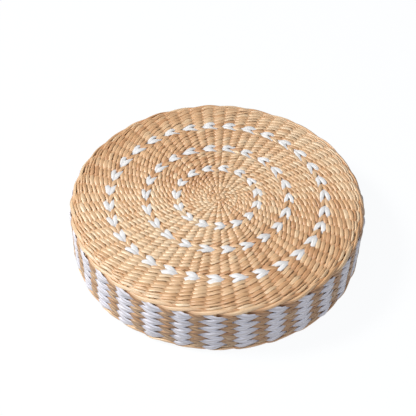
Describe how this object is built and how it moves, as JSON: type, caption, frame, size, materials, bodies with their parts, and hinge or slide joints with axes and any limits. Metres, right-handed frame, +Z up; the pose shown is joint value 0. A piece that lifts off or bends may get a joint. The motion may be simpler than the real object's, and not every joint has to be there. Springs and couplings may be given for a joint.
{
  "type": "seat pad",
  "caption": "Round woven straw seat pad with a foam core, white chevron rings on the top and white columns round the side.",
  "frame": {"origin": "centre of the underside, where the pad rests", "axes": "+Z up through the middle of the round pad; +X and +Y in the plane it rests on"},
  "size_m": [0.4, 0.4, 0.08],
  "materials": {
    "straw": "twined natural straw, dull with a soft sheen along the fibres",
    "white_cord": "matt white twisted cord",
    "stake_straw": "flat straw strips",
    "liner_cloth": "plain off-white lining cloth",
    "foam": "open foam"
  },
  "bodies": {
    "root": {"foam_core": "foam", "liner_top": "liner_cloth", "liner_side": "liner_cloth", "liner_base": "liner_cloth", "cover_stakes": "stake_straw", "base_stakes": "stake_straw", "top_knot": "straw", "top_weft_center": "straw", "top_weft_inner": "straw", "top_weft_middle": "straw", "top_weft_outer": "straw", "rim_border": "straw", "inner_ring_white_1": "white_cord", "inner_ring_straw_1": "straw", "inner_ring_white_2": "white_cord", "inner_ring_straw_2": "straw", "middle_ring_white_1": "white_cord", "middle_ring_straw_1": "straw", "middle_ring_white_2": "white_cord", "middle_ring_straw_2": "straw", "outer_ring_white_1": "white_cord", "outer_ring_straw_1": "straw", "outer_ring_white_2": "white_cord", "outer_ring_straw_2": "straw", "side_white_01": "white_cord", "side_straw_01": "straw", "side_white_02": "white_cord", "side_straw_02": "straw", "side_white_03": "white_cord", "side_straw_03": "straw", "side_white_04": "white_cord", "side_straw_04": "straw", "side_white_05": "white_cord", "side_straw_05": "straw", "side_white_06": "white_cord", "side_straw_06": "straw", "side_white_07": "white_cord", "side_straw_07": "straw", "side_white_08": "white_cord", "side_straw_08": "straw", "side_white_09": "white_cord", "side_straw_09": "straw", "side_white_10": "white_cord", "side_straw_10": "straw", "base_border": "straw", "base_weft": "straw", "base_knot": "straw"}
  },
  "joints": []
}
